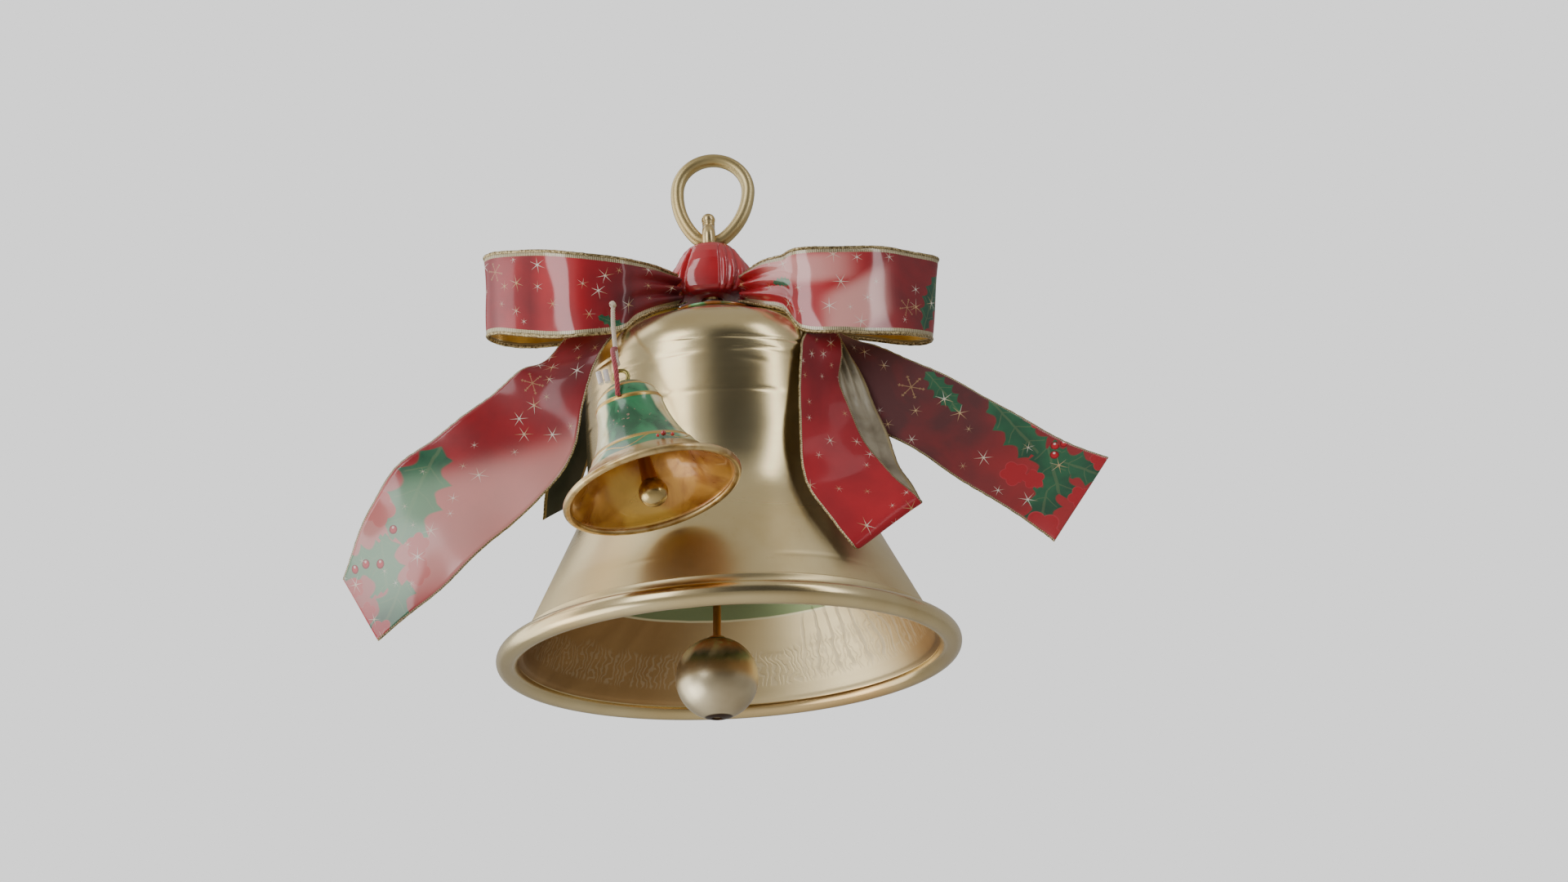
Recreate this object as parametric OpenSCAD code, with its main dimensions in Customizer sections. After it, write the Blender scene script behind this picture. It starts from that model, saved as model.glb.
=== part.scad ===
/* [Bell] */
// Outer diameter of the mouth, over the rolled lip
mouth_d = 120; // [119:0.5:121]
// Diameter of the straight waist
waist_d = 70.8; // [70.4:0.1:71]
// Thickness of the spun wall
wall = 1.4; // [1.2:0.1:1.6]
// Thickness of the rolled lip
lip_d = 5.6; // [5:0.1:6]
// Height of the flat crown above the middle of the lip
crown_h = 97.2; // [97:0.1:97.4]

/* [Hanging ring] */
// Wire thickness of the ring
ring_wire = 3.7; // [3.4:0.1:3.8]
// Width of the ring between the centres of its wire
ring_w = 19.8; // [19:0.1:21]
// How far the ring leans sideways from the bell's axis, in degrees
ring_lean = 6; // [0:1:8]

/* [Clapper] */
// Diameter of the clapper ball
ball_d = 21.4; // [18:0.2:22]
// Thickness of the clapper rod
rod_d = 2.1; // [1.8:0.1:2.1]
// Height of the ball's centre above the middle of the lip
ball_h = -5.7; // [-8:0.1:0]
// How far the clapper leans sideways at rest, in degrees
clapper_lean = 2.6; // [0:0.1:4]

/* [Bow] */
// Thickness of the ribbon
ribbon_t = 0.6; // [0.4:0.1:0.6]
// Diameter of the pleated knot
knot_d = 17; // [15:0.5:17]

/* [Small bell] */
// Outer diameter of the small bell's mouth
mini_mouth_d = 43; // [42:0.5:43]
// Height of the small bell
mini_h = 29.5; // [29:0.1:30]
// Wall thickness of the small bell
mini_wall = 0.8; // [0.7:0.1:0.9]
// Diameter of the small clapper ball
mini_ball_d = 7; // [5:0.5:8]
// Sideways lean of the small bell, in degrees
mini_lean = 12.6; // [10:0.2:14]
// Outward lean of the small bell, in degrees
mini_out = 5; // [4:0.5:8]
// Thickness of the small bell's cord
cord_d = 1.3; // [1:0.1:1.4]

/* [Hidden] */
$fn = 64;

gap = 0.05;             // running clearance between linked wires
brass = "#b9a66d";
dark_brass = "#8c6a3a";
ribbon_red = "#b3202c";
ribbon_green = "#1f4636";
cream = "#e8dcc0";

// Ring: four tangent arcs make the egg, wide end up
egg_r = ring_w / 2;
egg_foot_r = (2 - sqrt(2)) * egg_r;
egg_h = (4 - sqrt(2)) * egg_r;
wire_r = ring_wire / 2;

// The origin is the inside of the ring's top, and the bell's axis hangs beside it
pivot_h = 118.35;
pivot_drop = egg_h - wire_r;
bell_x = -pivot_drop * sin(ring_lean);
mouth_z = -pivot_drop * cos(ring_lean) - pivot_h;

// Bell outline, as heights above the middle of the lip
waist_r = waist_d / 2;
flare_top = 52;
flare_r = 46;
flare_angle = 26;
shoulder_h = 74.3;
shoulder_r = 14;
crown_angle = 25.6;
crown_flat_r = 6;
lip_r = lip_d / 2;
lip_c = mouth_d / 2 - lip_r;
crown_under = crown_h - wall;

// Hanger
stud_r = 2;
stem_r = 2.6;
eye_wire = 1.75;
eye_hole = 2.2;
eye_c = eye_hole + eye_wire;
eye_h = pivot_h + wire_r + gap - eye_hole;
finial_r = 1.95;
finial_h = 125.3;
cap_r = 13.5;
cap_t = 0.6;
collar_t = 1.2;
cap_top = crown_h + cap_t;

// Nut, staple and link
washer_t = 0.8;
washer_r = 5.4;
nut_t = 3.2;
nut_flats = 7;
nut_top = crown_under - washer_t;
staple_r = 3.2;
staple_top = nut_top - nut_t;
staple_h = 6.5;
staple_wire = 1;
staple_c = 3;
staple_eye_h = staple_top - staple_h - staple_c - staple_wire + 0.6;
link_pivot_h = staple_eye_h - staple_c;
link_wire = 0.9;
link_c = 3.4;
link_h = link_pivot_h + staple_wire + gap + link_wire - link_c;
rod_pivot_h = link_h - link_c;
rod_r = rod_d / 2;
rod_eye_c = 2.6;
rod_eye_h = rod_pivot_h + link_wire + gap + rod_r - rod_eye_c;
ball_r = ball_d / 2;
rod_end_h = ball_h - 3;

// Bow
knot_r = knot_d / 2;
knot_bottom = 100.4;
knot_top = 116;
tie_wire_r = 0.4;

// Each ribbon is a list of [x, y, height, half width x, y, z]
loop_left_route = [[-8.5, -8, 101, 0, 0, 4.4], [-14.5, -15.5, 98.5, 0, 0, 6.6],
    [-19.5, -20.5, 96, 0, 0, 8.4], [-24, -24, 93.5, 0, 0, 10.5], [-36, -25.5, 93.5, 0, 0, 12], [-48, -21.5, 96.5, 0, 0, 12.2],
    [-57, -15.5, 100, 0, 0, 11.6], [-60.5, -10.5, 101, 0, 0, 11.4], [-57, -6.5, 100.5, 0, 0, 11.4],
    [-48, -5, 99.5, 0, 0, 11.5], [-36, -5, 99.5, 0, 0, 10.8], [-24, -4.5, 100, 0, 0, 10],
    [-15, -2.5, 101.5, 0, 0, 7], [-9, -2, 101.5, 0, 0, 4.5]];
loop_right_route = [[8.5, -8, 100.5, 0, 0, 4.2], [14.5, -16.5, 97.5, 0, 0, 6.6],
    [19.5, -22.5, 94.5, 0, 0, 8], [24, -26.5, 90.5, 0, 0, 11.5], [36, -28, 89, 0, 0, 12.2], [48, -23, 90, 0, 0, 12.2],
    [57, -16, 91.5, 0.6, 0, 11.8], [60, -10.5, 92.5, 1.5, 0, 11.6], [57, -6.5, 93, 1, 0, 11.4],
    [48, -5, 94, 0, 0, 11.2], [36, -4.5, 96.5, 0, 0, 10.8], [24, -4, 98.5, 0, 0, 9.5],
    [15, -2.5, 100.8, 0, 0, 7], [9, -2, 101, 0, 0, 4.5]];
tail_left_route = [[-9, -5, 101, -2, 0, 2.8], [-18, -13.5, 95, -3.4, 0, 3],
    [-29, -20, 86.5, -5, 0.5, 2.2], [-37, -21.5, 76.7, -6.8, 1.5, 1.1], [-42, -23, 69, -8.3, 1, 5],
    [-47.5, -23, 59, -10.9, 1, 8.4], [-57, -25, 48, -13, 1, 9.6], [-70, -26, 37, -12.2, 1, 10.9],
    [-78.5, -26, 27, -9.8, 1, 10.9], [-86, -24.5, 17.5, -7.2, 0.5, 8.8],
    [-91, -23.5, 11.5, -4.6, 0.5, 8.4]];
tail_right_route = [[9, -4, 100.2, 2, 0, 2.8], [17, -9.5, 96.3, 3, 1, 2.8],
    [26, -13, 88.5, 1.5, 4, 1.5], [35, -15, 79.5, 2.6, 2, 1.8], [38.5, -15, 73, 4.6, 0, 5],
    [44, -15, 66, 6, 0, 8.4], [58, -15, 57, 6.9, 0, 8.6], [73, -14, 46, 7.8, 0, 8.7],
    [85, -13, 38, 7.8, 0, 9.3], [93, -13, 32.5, 8.1, 0, 10.9]];
tail_rear_route = [[-9.5, 1.5, 101.5, 0, -1, 3], [-18, 5, 96.5, -1, -3.5, 2.5],
    [-28, 8.5, 90.5, -2, -5, 1.5], [-36.5, 9, 81, -2.5, -6, 0], [-38.5, 8, 70, -3.5, -6, -1],
    [-40, 6.5, 60, -3.8, -6, -2], [-42.5, 5, 51, -4.3, -6, -3], [-44, 4.5, 44, -3.5, -5.5, -4]];
droop_route = [[8.5, -6.2, 98.8, 1, 0.5, 2.4], [15.5, -12.2, 94.6, 1.5, 0.3, 2],
    [22.5, -19.5, 88.4, 2, 1, 1.4], [28.5, -23.5, 80, 3.8, 1.5, 0.3],
    [28.5, -26.5, 73.5, 5.3, 2.4, -0.4], [27.5, -28.5, 63, 5.2, 3.4, 0],
    [29, -30.5, 49, 7.6, 3.8, 0.6], [32.5, -33, 35.5, 10, 4.2, 3], [38, -36.5, 26.5, 9.4, 4, 5.5],
    [40.5, -38, 22.4, 8.4, 4, 7], [42, -36.5, 21, 8.4, 4, 7], [42.5, -33.5, 24, 7.6, 4, 6.4],
    [42.5, -28.5, 34, 5.5, 3.5, 2.5], [40.5, -24, 46, 4.6, 3.5, 0], [37.5, -21, 57.5, 4.8, 3, 0],
    [34.5, -19.5, 70, 3.8, 2.2, 0], [31, -19.5, 80, 2.2, 1, 0.6]];

// Small bell, as heights above its own mouth
mini_mouth = [-13.8, -66, 22.5];
mini_r = mini_mouth_d / 2;
mini_lip = 0.9;
mini_waist_r = 8.2;
mini_neck_r = 8;
mini_flare_top = 26;
mini_flare_r = 30.6;
mini_dome_r = 7.2;
mini_flange = 0.5;
mini_wire = 0.5;
mini_loop_c = 1.7;
mini_loop_h = mini_h + mini_flange + mini_loop_c + mini_wire - 0.2;
mini_nut_t = 1;
mini_under = mini_h - mini_wall;
mini_eye_c = 1.3;
mini_eye_h = mini_under - mini_nut_t - mini_eye_c - mini_wire - 0.6;
mini_pivot_h = mini_eye_h - mini_eye_c;
mini_stem_eye_h = mini_pivot_h + 2 * mini_wire + gap - mini_eye_c;
mini_ball_r = mini_ball_d / 2;
mini_ball_h = 0.4;

// Cord, as points beside the bell, from the knot on the bow to the small bell's loop
cord_r = cord_d / 2;
cord_top = [-25.2, -26.3, 89.5];
cord_route = [[-25.1, -27.2, 88], [-25, -28.8, 85.8], [-24.7, -33, 81.2], [-24.2, -38, 76.4],
    [-23.6, -43.5, 71.4], [-23, -49, 66.6], [-22.4, -54.5, 62], [-21.8, -59.5, 58.8],
    [-21.5, -62, 57.4]];
twist_route = [[-23.9, -49.2, 65.2], [-23.8, -50.4, 62.5], [-23.6, -51, 59.5], [-23.5, -51, 56.5],
    [-23.4, -50.8, 54]];
cord_knot_r = 1.1;

module at_mouth() translate([bell_x, 0, mouth_z]) children();

module at_mini() at_mouth() translate(mini_mouth) rotate([-mini_out, -mini_lean, 0]) children();

// Turns a shape from the XY plane to the XZ plane, y becoming height
module upright() rotate([90, 0, 0]) children();

// Round wire ring in the XZ plane
module wire_ring(c, r) upright() rotate_extrude() translate([c, 0]) circle(r);

// Arc of round wire in the XY plane, from one angle to another
module wire_arc(c, r, from, to) rotate([0, 0, from]) rotate_extrude(angle = to - from)
    translate([c, 0]) circle(r);

function arc_points(cx, cy, r, from, to, n) =
    [for (i = [0:n]) let (a = from + (to - from) * i / n) [cx + r * cos(a), cy + r * sin(a)]];

// Smooth curve through a list of rows, with n steps from each row to the next
function row(list, i) = list[max(0, min(len(list) - 1, i))];
function between(list, i, t) =
    let (a = row(list, i - 1), b = row(list, i), c = row(list, i + 1), d = row(list, i + 2))
    0.5 * (2 * b + (c - a) * t + (2 * a - 5 * b + 4 * c - d) * t * t
    + (3 * b - a - 3 * c + d) * t * t * t);
function smooth(list, n) =
    [for (i = [0:len(list) - 2], k = [0:n - 1]) between(list, i, k / n), list[len(list) - 1]];
function unit(v) = v / norm(v);
function along(list, i) = unit(row(list, i + 1) - row(list, i - 1));

// Ribbon swept along a smoothed route: four corners to a section
module ribbon(route, steps = 3) {
    rows = smooth(route, steps);
    n = len(rows);
    mid = [for (r = rows) [r[0], r[1], r[2]]];
    half = [for (r = rows) [r[3], r[4], r[5]]];
    face = [for (i = [0:n - 1]) unit(cross(along(mid, i), half[i])) * ribbon_t / 2];
    corners = [for (i = [0:n - 1], c = [[1, 1], [-1, 1], [-1, -1], [1, -1]])
        mid[i] + c[0] * half[i] + c[1] * face[i]];
    sides = [for (i = [0:n - 2], k = [0:3]) let (a = 4 * i + k, b = 4 * i + (k + 1) % 4)
        each [[a, b + 4, b], [a, a + 4, b + 4]]];
    ends = [[0, 1, 2], [0, 2, 3], [4 * n - 4, 4 * n - 2, 4 * n - 3], [4 * n - 4, 4 * n - 1, 4 * n - 2]];
    polyhedron(corners, concat(sides, ends));
}

// Round cord swept along a smoothed route
module cord(route, r, steps = 2) {
    rows = smooth(route, steps);
    n = len(rows);
    m = 8;
    across = [for (i = [0:n - 1]) unit(cross(along(rows, i), [1, 0, 0]))];
    points = [for (i = [0:n - 1], k = [0:m - 1])
        let (a = 360 * k / m, up = cross(along(rows, i), across[i]))
        rows[i] + r * (cos(a) * across[i] + sin(a) * up)];
    sides = [for (i = [0:n - 2], k = [0:m - 1])
        let (a = m * i + k, b = m * i + (k + 1) % m) each [[a, b + m, b], [a, a + m, b + m]]];
    ends = [[for (k = [0:m - 1]) k], [for (k = [m - 1:-1:0]) m * (n - 1) + k]];
    polyhedron(points, concat(sides, ends));
}

// Egg-shaped ring, with its foot's wire centre on the pivot
module hanging_ring() color(brass)
    translate([bell_x, 0, mouth_z + pivot_h]) rotate([0, ring_lean, 0])
    translate([0, 0, egg_h - egg_r]) upright() {
        wire_arc(egg_r, wire_r, 0, 180);
        translate([-egg_r, 0]) wire_arc(2 * egg_r, wire_r, -45, 0);
        translate([egg_r, 0]) wire_arc(2 * egg_r, wire_r, 180, 225);
        translate([0, -egg_r]) wire_arc(egg_foot_r, wire_r, 225, 315);
    }

module hanger_eye() color(brass) at_mouth() {
    translate([0, 0, eye_h]) rotate([0, 0, 90]) wire_ring(eye_c, eye_wire);
    translate([0, 0, eye_h + eye_c]) cylinder(h = finial_h - eye_h - eye_c, r = 1.1);
    translate([0, 0, finial_h]) sphere(finial_r);
    translate([0, 0, cap_top]) cylinder(h = collar_t, r = 4.6);
    translate([0, 0, cap_top]) cylinder(h = eye_h - eye_hole - 1 - cap_top, r = stem_r);
    translate([0, 0, staple_top - staple_h + 1.5])
        cylinder(h = cap_top - staple_top + staple_h - 1.5, r = stud_r);
}

// Outer and inner outlines of the shell share their centres
function shell_line(inset) = concat(
    [[lip_c - inset, 0], [lip_c - lip_r * 0.8 - inset, lip_r * 0.5]],
    arc_points(waist_r + flare_r, flare_top, flare_r + inset, 180 + flare_angle, 180, 10),
    arc_points(waist_r - shoulder_r, shoulder_h, shoulder_r - inset, 0, 90 - crown_angle, 12),
    [[crown_flat_r, crown_h - inset]]);

module bell_shell() color(brass) at_mouth() {
    inner = shell_line(wall);
    outer = shell_line(0);
    rotate_extrude($fn = 128)
        polygon(concat([[stud_r + gap, crown_h]], [for (i = [len(outer) - 1:-1:0]) outer[i]],
            inner, [[stud_r + gap, crown_under]]));
    rotate_extrude($fn = 128) translate([lip_c, 0]) circle(lip_r);
}

// Shallow cone that lies on the crown's slope
module crown_cap() color("#5f6a70") at_mouth() {
    slope = (cap_r - crown_flat_r) * tan(crown_angle);
    rotate_extrude() polygon([[stud_r + gap, crown_h + gap], [crown_flat_r, crown_h + gap],
        [cap_r, crown_h - slope + 2 * gap], [cap_r, crown_h - slope + cap_t],
        [crown_flat_r, cap_top], [stud_r + gap, cap_top]]);
}

module inner_washer() color("silver") at_mouth() translate([0, 0, nut_top])
    difference() {
        cylinder(h = washer_t, r = washer_r);
        translate([0, 0, -1]) cylinder(h = washer_t + 2, r = stud_r + gap);
    }

module crown_nut() color(brass) at_mouth() translate([0, 0, staple_top])
    difference() {
        cylinder(h = nut_t, r = nut_flats / 2 / cos(30), $fn = 6);
        translate([0, 0, -1]) cylinder(h = nut_t + 2, r = stud_r + gap);
    }

module clapper_staple() color(brass) at_mouth() {
    difference() {
        translate([0, 0, staple_top - staple_h]) cylinder(h = staple_h, r = staple_r);
        translate([0, 0, staple_top - staple_h + 1.5 - gap]) cylinder(h = staple_h, r = stud_r + gap);
    }
    translate([0, 0, staple_eye_h]) wire_ring(staple_c, staple_wire);
}

module clapper_link() color(brass) at_mouth()
    translate([0, 0, link_h]) rotate([0, 0, 90]) wire_ring(link_c, link_wire);

module on_clapper() at_mouth() translate([0, 0, rod_pivot_h]) rotate([0, clapper_lean, 0])
    translate([0, 0, -rod_pivot_h]) children();

module clapper_rod() color(dark_brass) on_clapper() {
    translate([0, 0, rod_eye_h]) wire_ring(rod_eye_c, rod_r);
    translate([0, 0, rod_end_h]) cylinder(h = rod_eye_h - rod_eye_c - rod_end_h, r = rod_r);
}

module clapper_ball() color(brass) on_clapper() difference() {
    translate([0, 0, ball_h]) sphere(ball_r);
    translate([0, 0, rod_end_h - gap]) cylinder(h = 2 * ball_r, r = rod_r + gap);
    translate([0, 0, ball_h - 2 * ball_r]) cylinder(h = 2 * ball_r - 2, r = 1.3);
}

// Barrel of gathered ribbon round the stem
module bow_knot() color(ribbon_red) at_mouth() {
    round_r = 4;
    bore_r = stem_r + 0.3;
    pocket_r = eye_c + eye_wire + 0.3;
    rotate_extrude() difference() {
        union() {
            translate([0, knot_bottom]) square([knot_r - round_r, knot_top - knot_bottom]);
            translate([0, knot_bottom + round_r])
                square([knot_r, knot_top - knot_bottom - 2 * round_r]);
            translate([knot_r - round_r, knot_bottom + round_r]) circle(round_r);
            translate([knot_r - round_r, knot_top - round_r]) circle(round_r);
        }
        translate([-knot_r, knot_bottom - 1]) square([knot_r + bore_r, knot_top - knot_bottom + 2]);
        translate([-knot_r, eye_h - pocket_r]) square([knot_r + pocket_r, 2 * pocket_r]);
    }
}

module bow_tie_wire() color("silver") at_mouth()
    translate([0, 0, cap_top + collar_t + tie_wire_r + 0.1])
    rotate_extrude() translate([stem_r + tie_wire_r + gap, 0]) circle(tie_wire_r);

module bow_loop_left() color(ribbon_red) at_mouth() ribbon(loop_left_route);
module bow_loop_right() color(ribbon_red) at_mouth() ribbon(loop_right_route);
module tail_left() color(ribbon_red) at_mouth() ribbon(tail_left_route);
module tail_right() color(ribbon_red) at_mouth() ribbon(tail_right_route);
module tail_rear() color(ribbon_green) at_mouth() ribbon(tail_rear_route);
module droop_loop() color(ribbon_red) at_mouth() ribbon(droop_route);

module cord_knot() color(cream) at_mouth() translate(cord_top) sphere(cord_knot_r);
module mini_cord() color(cream) at_mouth() cord(cord_route, cord_r);
module cord_twist() color(ribbon_red) at_mouth() cord(twist_route, cord_r);

module cord_ends() color("white") at_mini() for (x = [-5, -3.4])
    translate([x, -2.8, mini_h + 0.8]) rotate([0, 12, 0]) {
        cylinder(h = 2.4, r = 0.7);
        sphere(0.7);
        translate([0, 0, 2.4]) sphere(0.7);
    }

// Outline of the small bell from lip to crown
function mini_line(inset) = concat(
    [[mini_r - mini_lip - inset, mini_lip]],
    arc_points(mini_neck_r + mini_flare_r, mini_flare_top, mini_flare_r + inset, 233, 187, 10),
    arc_points(mini_waist_r - mini_dome_r, mini_h - mini_dome_r, mini_dome_r - inset, 8, 80, 8));

module mini_bell_shell() color("#1f7a45") at_mini() {
    inner = mini_line(mini_wall);
    outer = mini_line(0);
    bore = mini_wire + 0.15;
    rotate_extrude() polygon(concat([[bore, mini_h]],
        [for (i = [len(outer) - 1:-1:0]) outer[i]], inner, [[bore, mini_under]]));
    rotate_extrude() translate([mini_r - mini_lip, mini_lip]) circle(mini_lip);
}

module mini_hanger() color(dark_brass) at_mini() {
    translate([0, 0, mini_loop_h]) wire_ring(mini_loop_c, mini_wire);
    translate([0, 0, mini_h + gap]) cylinder(h = mini_flange, r = 2);
    translate([0, 0, mini_eye_h + mini_eye_c])
        cylinder(h = mini_loop_h - mini_loop_c - mini_eye_h - mini_eye_c, r = mini_wire);
    translate([0, 0, mini_eye_h]) wire_ring(mini_eye_c, mini_wire);
}

module mini_nut() color(dark_brass) at_mini() translate([0, 0, mini_under - mini_nut_t - 0.1])
    difference() {
        cylinder(h = mini_nut_t, r = 1.7);
        translate([0, 0, -1]) cylinder(h = mini_nut_t + 2, r = mini_wire + gap);
    }

// Stem with an eye across the hanger's eye, swelling towards the ball
module mini_clapper_stem() color(dark_brass) at_mini() {
    translate([0, 0, mini_stem_eye_h]) rotate([0, 0, 90]) wire_ring(mini_eye_c, mini_wire);
    top = mini_stem_eye_h - mini_eye_c;
    foot = mini_ball_h + mini_ball_r;
    translate([0, 0, foot - 0.6]) cylinder(h = top - foot + 0.6, r1 = 2, r2 = 0.6);
}

module mini_clapper_ball() color(brass) at_mini() difference() {
    translate([0, 0, mini_ball_h]) sphere(mini_ball_r);
    translate([0, 0, mini_ball_h + mini_ball_r - 0.6 - gap]) cylinder(h = 3, r = 2.2);
}

hanging_ring();
hanger_eye();
crown_cap();
bell_shell();
inner_washer();
crown_nut();
clapper_staple();
clapper_link();
clapper_rod();
clapper_ball();
bow_knot();
bow_tie_wire();
bow_loop_left();
bow_loop_right();
tail_left();
tail_right();
tail_rear();
droop_loop();
cord_knot();
mini_cord();
cord_twist();
cord_ends();
mini_bell_shell();
mini_hanger();
mini_nut();
mini_clapper_stem();
mini_clapper_ball();
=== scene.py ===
"""Christmas bell ornament: a satin gold bell on a ring, with a ribbon bow and a small painted bell."""
import math
import random
import bmesh
import bpy
from mathutils import Matrix, Vector, noise


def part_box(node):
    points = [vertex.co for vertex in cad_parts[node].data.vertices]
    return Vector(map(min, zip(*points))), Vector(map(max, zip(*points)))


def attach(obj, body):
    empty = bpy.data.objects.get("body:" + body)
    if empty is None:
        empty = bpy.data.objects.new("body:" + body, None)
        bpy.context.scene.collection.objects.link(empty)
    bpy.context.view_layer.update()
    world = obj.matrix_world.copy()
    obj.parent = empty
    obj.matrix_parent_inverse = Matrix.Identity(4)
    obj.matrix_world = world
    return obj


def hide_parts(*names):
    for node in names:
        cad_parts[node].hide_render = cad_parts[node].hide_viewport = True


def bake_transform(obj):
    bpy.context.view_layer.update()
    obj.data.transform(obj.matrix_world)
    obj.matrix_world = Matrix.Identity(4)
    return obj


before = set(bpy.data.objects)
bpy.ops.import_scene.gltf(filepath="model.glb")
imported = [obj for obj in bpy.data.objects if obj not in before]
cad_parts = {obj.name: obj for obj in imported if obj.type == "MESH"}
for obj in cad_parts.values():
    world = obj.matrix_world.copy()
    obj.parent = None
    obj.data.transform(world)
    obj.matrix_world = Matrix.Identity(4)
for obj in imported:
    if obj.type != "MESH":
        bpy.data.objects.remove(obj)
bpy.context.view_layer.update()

# Camera: held a little below the bell and looking up at it, with a slight roll.
# Everything is placed beside the bell: its axis stands in the middle of the shell's box,
# and heights are counted from the middle of the rolled lip.
MM = 0.001
LIP_R = 2.8
shell_low, shell_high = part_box("bell_shell")
AXIS = Vector(((shell_low.x + shell_high.x) / 2, 0, shell_low.z + LIP_R * MM))


def beside_bell(x, y, h):
    return AXIS + Vector((x, y, h))


lens = bpy.data.cameras.new("camera")
lens.lens = 50
lens.clip_start = 0.01
camera = bpy.data.objects.new("camera", lens)
LOOK_UP = 20.58
ROLL = -3.5
look_up = Matrix.Rotation(math.radians(90 + LOOK_UP), 4, "X")
roll = Matrix.Rotation(math.radians(ROLL), 4, "Z")
camera.matrix_world = Matrix.Translation(beside_bell(0.0173, -0.5458, -0.1465)) @ look_up @ roll
bpy.context.scene.collection.objects.link(camera)
bpy.context.scene.camera = camera


# Cord of the small bell: a cream strand and a gold strand laid together, from the bow down to
# the small bell's loop. A red and white candy twist is tied over it, and two white ends stick out.
class Reading:
    """A node's output in a finish, so that sums of readings read as plain arithmetic."""

    def __init__(self, tree, socket):
        self.tree = tree
        self.socket = socket

    def node(self, kind, settings=None, inputs=None, output=0):
        """Adds a node: its settings first, then the values or readings of its sockets."""
        made = self.tree.nodes.new("ShaderNode" + kind)
        for name, value in (settings or {}).items():
            setattr(made, name, value)
        for name, value in (inputs or {}).items():
            if isinstance(value, Reading):
                self.tree.links.new(value.socket, made.inputs[name])
            else:
                made.inputs[name].default_value = value
        return Reading(self.tree, made.outputs[output])

    def maths(self, operation, *others):
        return self.node("Math", {"operation": operation}, dict(enumerate((self, *others))))

    def __add__(self, other):
        return self.maths("ADD", other)

    __radd__ = __add__

    def __mul__(self, other):
        return self.maths("MULTIPLY", other)

    __rmul__ = __mul__

    def __sub__(self, other):
        return self.maths("SUBTRACT", other)

    def __rsub__(self, other):
        return self.node("Math", {"operation": "SUBTRACT"}, {0: other, 1: self})

    def __truediv__(self, other):
        return self.maths("DIVIDE", other)

    def __rtruediv__(self, other):
        return self.node("Math", {"operation": "DIVIDE"}, {0: other, 1: self})

    def __pow__(self, other):
        return self.maths("POWER", other)

    def __abs__(self):
        return self.maths("ABSOLUTE")

    def rise(self, low, high, to=1.0):
        """From 0 at low to `to` at high, with soft ends."""
        return self.node("MapRange", {"interpolation_type": "SMOOTHSTEP"},
                         {0: self, 1: low, 2: high, 3: 0.0, 4: to})

    def tint(self, first, second):
        """A colour between two others, by this reading."""
        return self.node("Mix", {"data_type": "RGBA"}, {0: self, 6: first, 7: second}, output=2)

    def part(self, axis):
        return self.node("SeparateXYZ", inputs={0: self}, output="XYZ".index(axis))

    def noise(self, scale, detail=3.0, distortion=0.0):
        return self.node("TexNoise", inputs={"Vector": self, "Scale": scale, "Detail": detail,
                                             "Distortion": distortion})

    def stretched(self, x, y, z):
        return self.node("VectorMath", {"operation": "MULTIPLY"}, {0: self, 1: (x, y, z)})

    def bump(self, distance, strength=1.0):
        """The normal of a surface with this height, in shares of distance."""
        return self.node("Bump", inputs={"Strength": strength, "Distance": distance, "Height": self})


def colour(hexes):
    """Linear colour of a paint chip given as six hex digits."""
    parts = [int(hexes[i:i + 2], 16) / 255 for i in (0, 2, 4)]
    return (*(c / 12.92 if c < 0.04045 else ((c + 0.055) / 1.055) ** 2.4 for c in parts), 1)


def finish(name, **fixed):
    """A new finish with its fixed values set, its shader, and the reading of places on a piece."""
    material = bpy.data.materials.new(name)
    material.use_nodes = True
    tree = material.node_tree
    shader = tree.nodes["Principled BSDF"]
    for socket, value in fixed.items():
        shader.inputs[socket.replace("_", " ")].default_value = value
    place = tree.nodes.new("ShaderNodeTexCoord")
    return material, shader, Reading(tree, place.outputs["Object"])


def vary(shader, **readings):
    """Feeds the shader's sockets that change over the surface."""
    for socket, reading in readings.items():
        reading.tree.links.new(reading.socket, shader.inputs[socket.replace("_", " ")])


def smooth(route, steps):
    """Points of a soft curve through a route's given points, with steps between each two."""
    rows = [Vector(row) for row in route]
    curve = []
    for i in range(len(rows) - 1):
        a, b, c, d = (rows[max(0, min(len(rows) - 1, i + k))] for k in (-1, 0, 1, 2))
        for k in range(steps):
            t = k / steps
            curve.append((2 * b + (c - a) * t + (2 * a - 5 * b + 4 * c - d) * t ** 2
                          + (3 * b - a - 3 * c + d) * t ** 3) / 2)
    return curve + [rows[-1]]


def piece(name, mesh, finishes, body, replaced=()):
    """Shows a mesh as a named piece that rides on a body and stands for CAD nodes."""
    made = bpy.data.objects.new(name, mesh)
    bpy.context.scene.collection.objects.link(made)
    for material in finishes:
        mesh.materials.append(material)
    mesh.shade_smooth()
    if body:
        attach(made, body)
    if replaced:
        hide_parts(*replaced)
    return made


def drawn_wire(lines, radius, sides=3, closed=False):
    """Mesh of round wire or thread along lines of points, each line with a finish of its own."""
    curve = bpy.data.curves.new("wire", "CURVE")
    curve.dimensions = "3D"
    curve.bevel_depth = radius
    curve.bevel_resolution = sides
    curve.use_fill_caps = True
    for number, line in enumerate(lines):
        spline = curve.splines.new("POLY")
        spline.points.add(len(line) - 1)
        spline.use_cyclic_u = closed
        spline.use_smooth = True
        spline.material_index = number
        for point, place in zip(spline.points, line):
            point.co = (*place, 1)
    for _ in lines:
        curve.materials.append(None)
    holder = bpy.data.objects.new("wire", curve)
    bpy.context.scene.collection.objects.link(holder)
    depsgraph = bpy.context.evaluated_depsgraph_get()
    mesh = bpy.data.meshes.new_from_object(holder.evaluated_get(depsgraph))
    mesh.materials.clear()
    bpy.data.objects.remove(holder)
    return mesh


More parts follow.
